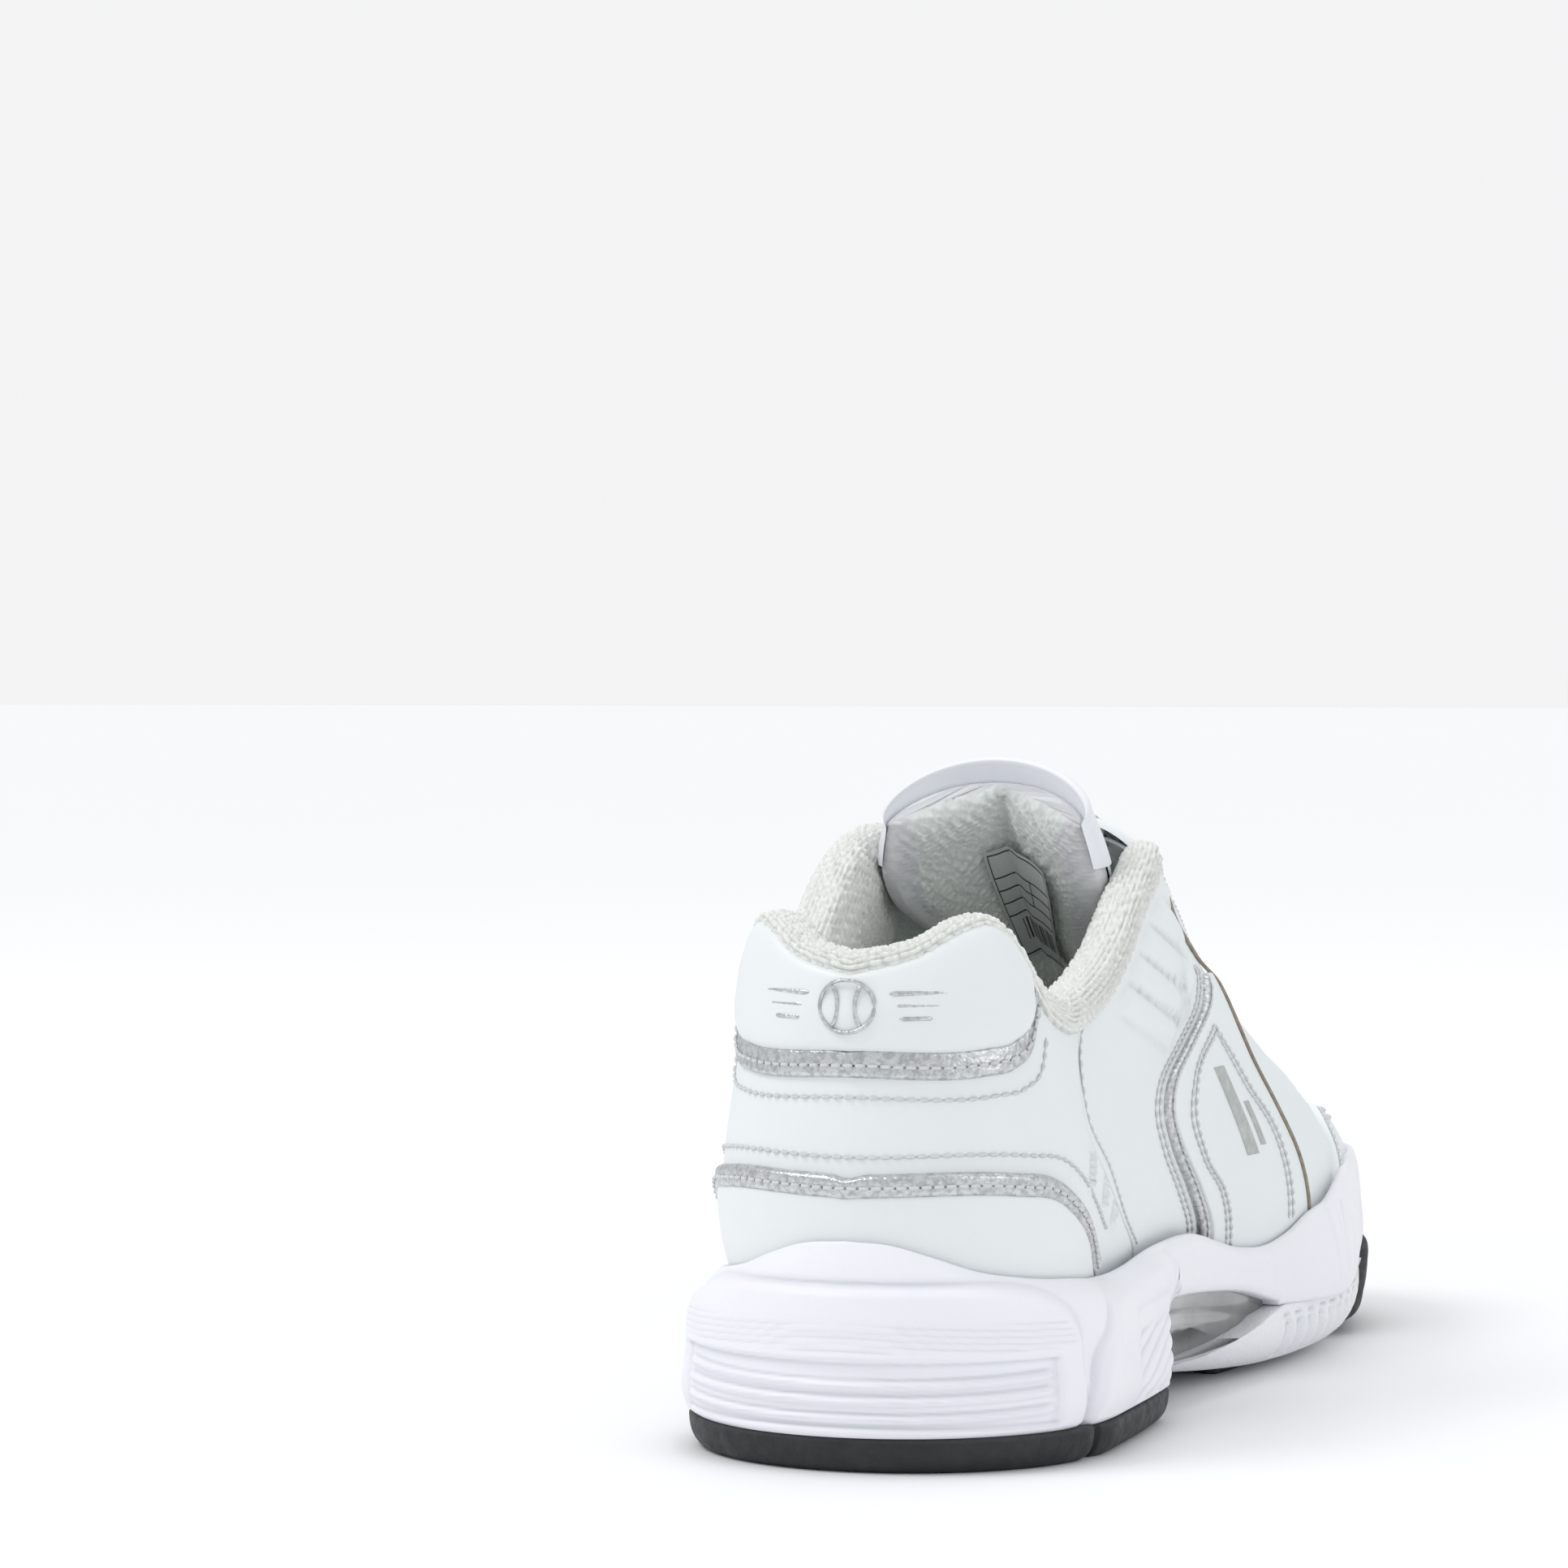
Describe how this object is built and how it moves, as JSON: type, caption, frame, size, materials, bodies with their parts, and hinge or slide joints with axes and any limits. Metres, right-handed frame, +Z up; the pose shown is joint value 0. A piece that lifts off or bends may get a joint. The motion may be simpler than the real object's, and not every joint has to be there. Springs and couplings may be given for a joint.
{
  "type": "court shoe",
  "caption": "White leather lace-up court shoe for a right foot, with padded knit collar, silver trims, sculpted foam midsole, glossy arch bridge and black rubber tread.",
  "frame": {"origin": "on the ground, under the centre of the round back of the heel, on the flat underside of the heel tread", "axes": "+Y towards the toe, +X towards the outer side of the foot, +Z up"},
  "size_m": [0.1026, 0.2752, 0.1244],
  "materials": {
    "black_rubber": "fine matt grain",
    "white_rubber": "frosted texture",
    "midsole_foam": "moulded foam",
    "grey_shank": "glossy, slightly see-through",
    "insole_board": "fibre board",
    "lining_fabric": "brushed mesh",
    "white_leather": "fine grain",
    "silver_trim": "crinkled metallic foil",
    "stiffener_board": "plain",
    "collar_knit": "looped terry knit",
    "padding_foam": "open foam",
    "size_label": "smooth woven label",
    "lace": "flat woven",
    "side_mark": "translucent grey print"
  },
  "bodies": {
    "rearfoot": {"outsole_heel_rear": "black_rubber", "outsole_heel_front": "black_rubber", "outsole_forefoot": "black_rubber", "forefoot_shell_rear": "white_rubber", "midsole_heel": "midsole_foam", "arch_shank": "grey_shank", "insole_board_rear": "insole_board", "sock_liner_rear": "lining_fabric", "vamp_lining": "lining_fabric", "heel_panel": "white_leather", "lateral_quarter": "white_leather", "medial_quarter": "white_leather", "vamp": "white_leather", "heel_foxing": "white_leather", "heel_tab": "white_leather", "lateral_saddle": "white_leather", "medial_saddle": "white_leather", "lateral_eyestay": "white_leather", "medial_eyestay": "white_leather", "toe_overlay": "white_leather", "heel_foxing_trim": "silver_trim", "heel_tab_trim": "silver_trim", "lateral_stripe": "silver_trim", "medial_stripe": "silver_trim", "heel_counter": "stiffener_board", "collar_lining": "collar_knit", "collar_padding": "padding_foam", "lace": "lace", "lateral_mark": "side_mark", "medial_mark": "side_mark"},
    "forefoot": {"outsole_toe": "black_rubber", "forefoot_shell_front": "white_rubber", "midsole_forefoot": "midsole_foam", "insole_board_front": "insole_board", "sock_liner_front": "lining_fabric", "toe_puff": "stiffener_board"},
    "tongue": {"tongue_face": "white_leather", "tongue_padding": "padding_foam", "tongue_lining": "collar_knit", "tongue_tab": "white_leather", "size_label": "size_label"}
  },
  "joints": [
    {"name": "forefoot_flex", "type": "hinge", "parent": "rearfoot", "child": "forefoot", "pos_m": [0, 0.155, 0.039], "axis": [1, 0, 0], "range_deg": [0, 28], "deforming": ["vamp", "vamp_lining", "toe_overlay"]},
    {"name": "tongue_hinge", "type": "hinge", "parent": "rearfoot", "child": "tongue", "pos_m": [0, 0.125, 0.067], "axis": [1, 0, 0], "range_deg": [0, 10]}
  ]
}
